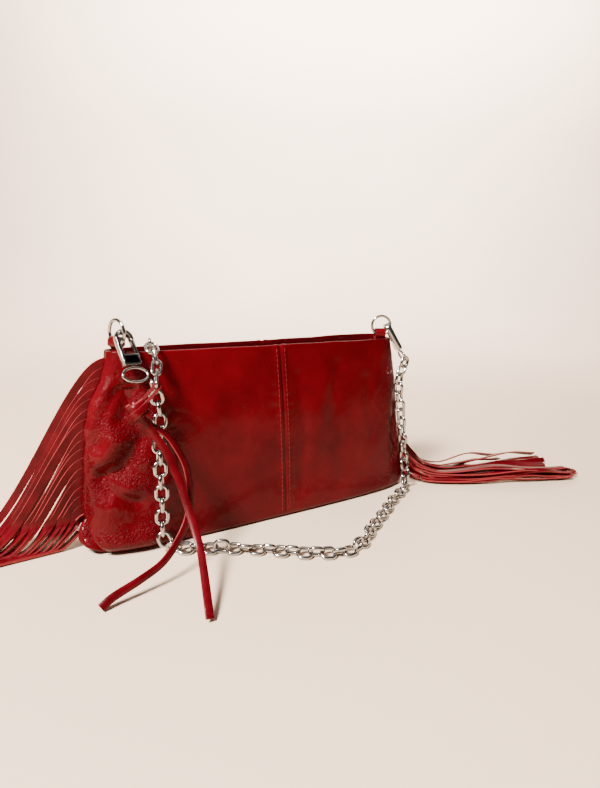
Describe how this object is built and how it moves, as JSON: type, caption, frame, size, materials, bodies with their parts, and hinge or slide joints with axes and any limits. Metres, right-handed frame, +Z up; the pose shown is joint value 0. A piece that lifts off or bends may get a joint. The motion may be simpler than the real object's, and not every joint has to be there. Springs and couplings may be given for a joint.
{
  "type": "clutch purse",
  "caption": "Fringed leather clutch purse with zip top, side fringes, tassel zip pull and a detachable chain strap on rings and swivel clasps",
  "frame": {"origin": "middle of the base, on the surface the purse stands on", "axes": "+X along the purse, -Y towards its front, +Z up"},
  "size_m": [0.7322, 0.1836, 0.1689],
  "materials": {
    "base_panel_finish": "crinkled patent, deep red",
    "base_stiffener_finish": "plain board",
    "front_panel_left_finish": "crinkled patent, deep red",
    "front_panel_right_finish": "crinkled patent, deep red",
    "back_panel_left_finish": "crinkled patent, deep red",
    "back_panel_right_finish": "crinkled patent, deep red",
    "lining_finish": "woven, dark red",
    "inner_pocket_finish": "woven, dark red",
    "facing_front_finish": "crinkled patent, deep red",
    "facing_back_finish": "crinkled patent, deep red",
    "zip_tape_front_finish": "woven, dark red",
    "zip_tape_back_finish": "woven, dark red",
    "zip_teeth_front_finish": "polished silver colour",
    "zip_teeth_back_finish": "polished silver colour",
    "zip_stop_left_finish": "polished silver colour",
    "zip_stop_right_finish": "polished silver colour",
    "tab_left_finish": "crinkled patent, deep red",
    "tab_right_finish": "crinkled patent, deep red",
    "fringe_left_finish": "crinkled patent, deep red",
    "fringe_right_finish": "crinkled patent, deep red",
    "chain_left_finish": "polished silver colour",
    "chain_right_finish": "polished silver colour",
    "chain_middle_link_finish": "polished silver colour",
    "zip_slider_finish": "polished silver colour",
    "pull_link_1_finish": "polished silver colour",
    "pull_link_2_finish": "polished silver colour",
    "pull_link_3_finish": "polished silver colour",
    "pull_link_4_finish": "polished silver colour",
    "pull_link_5_finish": "polished silver colour",
    "tassel_knot_finish": "crinkled patent, deep red",
    "tassel_tail_front_finish": "crinkled patent, deep red",
    "tassel_tail_back_finish": "crinkled patent, deep red",
    "ring_left_finish": "polished silver colour",
    "clasp_frame_left_finish": "polished silver colour",
    "clasp_pin_left_finish": "polished silver colour",
    "clasp_spring_left_finish": "polished silver colour",
    "clasp_gate_left_finish": "polished silver colour",
    "clasp_swivel_left_finish": "polished silver colour",
    "ring_right_finish": "polished silver colour",
    "clasp_frame_right_finish": "polished silver colour",
    "clasp_pin_right_finish": "polished silver colour",
    "clasp_spring_right_finish": "polished silver colour",
    "clasp_gate_right_finish": "polished silver colour",
    "clasp_swivel_right_finish": "polished silver colour"
  },
  "bodies": {
    "bag": {"base_panel": "base_panel_finish", "base_stiffener": "base_stiffener_finish", "front_panel_left": "front_panel_left_finish", "front_panel_right": "front_panel_right_finish", "back_panel_left": "back_panel_left_finish", "back_panel_right": "back_panel_right_finish", "lining": "lining_finish", "inner_pocket": "inner_pocket_finish", "facing_front": "facing_front_finish", "facing_back": "facing_back_finish", "zip_tape_front": "zip_tape_front_finish", "zip_tape_back": "zip_tape_back_finish", "zip_teeth_front": "zip_teeth_front_finish", "zip_teeth_back": "zip_teeth_back_finish", "zip_stop_left": "zip_stop_left_finish", "zip_stop_right": "zip_stop_right_finish", "tab_left": "tab_left_finish", "tab_right": "tab_right_finish", "fringe_left": "fringe_left_finish", "fringe_right": "fringe_right_finish", "chain_left": "chain_left_finish", "chain_right": "chain_right_finish", "chain_middle_link": "chain_middle_link_finish"},
    "slider": {"zip_slider": "zip_slider_finish"},
    "pull": {"pull_link_1": "pull_link_1_finish", "pull_link_2": "pull_link_2_finish"},
    "tassel": {"pull_link_3": "pull_link_3_finish", "pull_link_4": "pull_link_4_finish", "pull_link_5": "pull_link_5_finish", "tassel_knot": "tassel_knot_finish", "tassel_tail_front": "tassel_tail_front_finish", "tassel_tail_back": "tassel_tail_back_finish"},
    "ring_left": {"ring_left": "ring_left_finish"},
    "clasp_left": {"clasp_frame_left": "clasp_frame_left_finish", "clasp_pin_left": "clasp_pin_left_finish", "clasp_spring_left": "clasp_spring_left_finish"},
    "clasp_gate_left": {"clasp_gate_left": "clasp_gate_left_finish"},
    "clasp_swivel_left": {"clasp_swivel_left": "clasp_swivel_left_finish"},
    "ring_right": {"ring_right": "ring_right_finish"},
    "clasp_right": {"clasp_frame_right": "clasp_frame_right_finish", "clasp_pin_right": "clasp_pin_right_finish", "clasp_spring_right": "clasp_spring_right_finish"},
    "clasp_gate_right": {"clasp_gate_right": "clasp_gate_right_finish"},
    "clasp_swivel_right": {"clasp_swivel_right": "clasp_swivel_right_finish"}
  },
  "joints": [
    {"name": "zip_slide", "type": "slide", "parent": "bag", "child": "slider", "axis": [1, 0, 0], "range_m": [0, 0.192], "deforming": ["tassel_tail_front", "tassel_tail_back"]},
    {"name": "pull_swing", "type": "hinge", "parent": "slider", "child": "pull", "pos_m": [-0.1, 0, 0.1464], "axis": [-1, 0, 0], "range_deg": [0, 40]},
    {"name": "tassel_swing", "type": "hinge", "parent": "pull", "child": "tassel", "pos_m": [-0.1035, -0.02159, 0.14457], "axis": [-1, 0, 0], "range_deg": [0, 50]},
    {"name": "ring_swing_left", "type": "hinge", "parent": "bag", "child": "ring_left", "pos_m": [-0.1236, -0.005, 0.14845], "axis": [-0.3746, 0.9272, 0], "range_deg": [-5, 7], "deforming": ["chain_left"]},
    {"name": "clasp_swing_left", "type": "hinge", "parent": "ring_left", "child": "clasp_left", "pos_m": [-0.12068, -0.01223, 0.15323], "axis": [-0.1861, 0.7686, -0.612], "range_deg": [0, 10]},
    {"name": "clasp_gate_left_open", "type": "hinge", "parent": "clasp_left", "child": "clasp_gate_left", "pos_m": [-0.11417, -0.0203, 0.14112], "axis": [0.1861, -0.7686, 0.612], "range_deg": [0, 12], "stiffness_Nm_per_rad": 0.01},
    {"name": "clasp_swivel_left_turn", "type": "hinge", "parent": "clasp_left", "child": "clasp_swivel_left", "pos_m": [-0.11816, -0.02484, 0.13662], "axis": [-0.1201, 0.6005, 0.7906], "range_deg": [-180, 180]},
    {"name": "ring_swing_right", "type": "hinge", "parent": "bag", "child": "ring_right", "pos_m": [0.1144, -0.005, 0.15025], "axis": [-0.9063, 0.4226, 0], "range_deg": [-4, 22], "deforming": ["chain_right"]},
    {"name": "clasp_swing_right", "type": "hinge", "parent": "ring_right", "child": "clasp_right", "pos_m": [0.1214, -0.00826, 0.15489], "axis": [-0.7917, 0.3395, -0.508], "range_deg": [0, 10]},
    {"name": "clasp_gate_right_open", "type": "hinge", "parent": "clasp_right", "child": "clasp_gate_right", "pos_m": [0.12992, -0.00855, 0.14142], "axis": [0.7917, -0.3395, 0.508], "range_deg": [0, 12], "stiffness_Nm_per_rad": 0.01},
    {"name": "clasp_swivel_right_turn", "type": "hinge", "parent": "clasp_right", "child": "clasp_swivel_right", "pos_m": [0.13023, -0.01457, 0.13691], "axis": [-0.4205, 0.3004, 0.8561], "range_deg": [-180, 180]}
  ]
}
